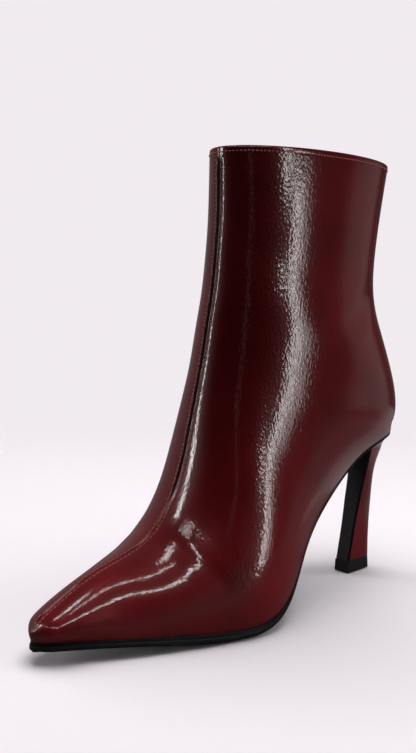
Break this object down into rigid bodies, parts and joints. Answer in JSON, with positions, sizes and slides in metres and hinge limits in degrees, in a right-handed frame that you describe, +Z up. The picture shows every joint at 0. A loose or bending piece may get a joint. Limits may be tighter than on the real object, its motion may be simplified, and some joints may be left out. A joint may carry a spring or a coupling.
{
  "type": "heeled ankle boot",
  "caption": "Pointed-toe ankle boot for the left foot with a plain straight shaft, concealed front zip and slim flared high heel.",
  "frame": {"origin": "middle of the boot's footprint box, on the floor", "axes": "+X from the heel to the toe, +Y to the outer side of the left boot, +Z up"},
  "size_m": [0.2484, 0.0842, 0.2405],
  "materials": {
    "burgundy_leather": "glossy",
    "sole_black": "satin",
    "insole_sock": "matte",
    "zip_black": "matte"
  },
  "bodies": {
    "root": {"upper": "burgundy_leather", "outsole": "sole_black", "insole": "insole_sock", "heel": "burgundy_leather", "heel_breast_cover": "sole_black", "top_piece": "sole_black", "front_zip": "zip_black"}
  },
  "joints": []
}
